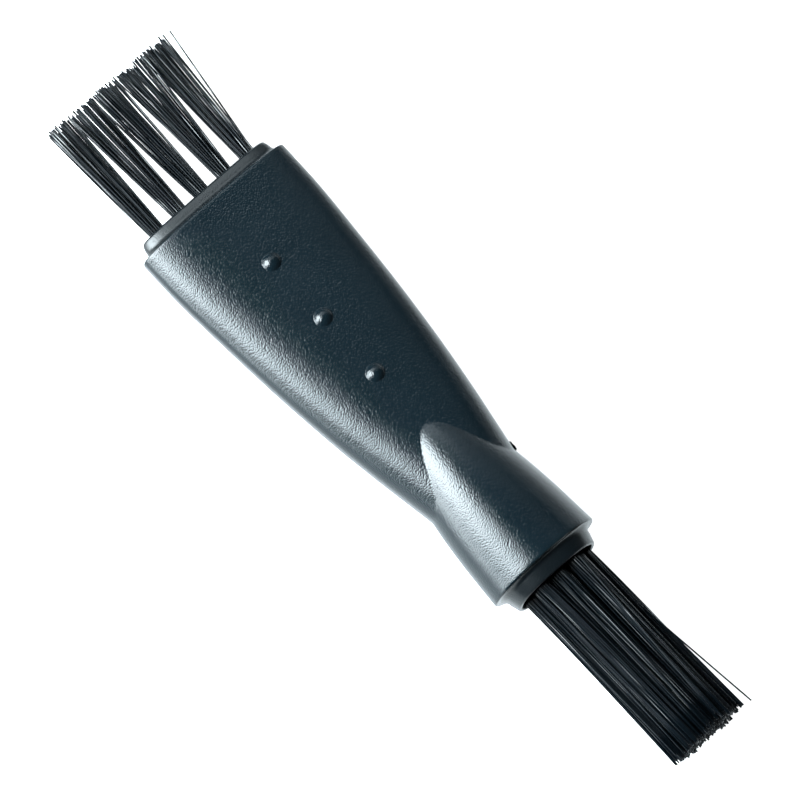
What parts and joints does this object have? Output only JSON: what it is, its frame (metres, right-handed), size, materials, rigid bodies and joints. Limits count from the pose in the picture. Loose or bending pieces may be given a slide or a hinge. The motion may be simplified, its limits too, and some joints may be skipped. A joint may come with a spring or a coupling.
{
  "type": "shaver cleaning brush",
  "caption": "Double-ended shaver cleaning brush: a flat paddle with a row of stiff tufts, and a round barrel with a dense bristle bundle.",
  "frame": {"origin": "middle of the whole brush, on its mid-plane, halfway between the tips of the bristles at its two ends", "axes": "+X along the handle from the wide end to the narrow end, +Y across the handle, +Z out of the broad face that carries the grip dots"},
  "size_m": [0.0868, 0.018, 0.0096],
  "materials": {
    "handle_plastic": "fine spark-eroded grain, satin",
    "bristle_nylon": "glossy drawn filament",
    "anchor_metal": "cut flat wire"
  },
  "bodies": {
    "root": {"handle": "handle_plastic", "wide_tuft_1": "bristle_nylon", "wide_tuft_2": "bristle_nylon", "wide_tuft_3": "bristle_nylon", "wide_tuft_4": "bristle_nylon", "wide_tuft_5": "bristle_nylon", "wide_anchor_1": "anchor_metal", "wide_anchor_2": "anchor_metal", "wide_anchor_3": "anchor_metal", "wide_anchor_4": "anchor_metal", "wide_anchor_5": "anchor_metal", "narrow_tuft_01": "bristle_nylon", "narrow_tuft_02": "bristle_nylon", "narrow_tuft_03": "bristle_nylon", "narrow_tuft_04": "bristle_nylon", "narrow_tuft_05": "bristle_nylon", "narrow_tuft_06": "bristle_nylon", "narrow_tuft_07": "bristle_nylon", "narrow_tuft_08": "bristle_nylon", "narrow_tuft_09": "bristle_nylon", "narrow_tuft_10": "bristle_nylon", "narrow_anchor_01": "anchor_metal", "narrow_anchor_02": "anchor_metal", "narrow_anchor_03": "anchor_metal", "narrow_anchor_04": "anchor_metal", "narrow_anchor_05": "anchor_metal", "narrow_anchor_06": "anchor_metal", "narrow_anchor_07": "anchor_metal", "narrow_anchor_08": "anchor_metal", "narrow_anchor_09": "anchor_metal", "narrow_anchor_10": "anchor_metal"}
  },
  "joints": []
}
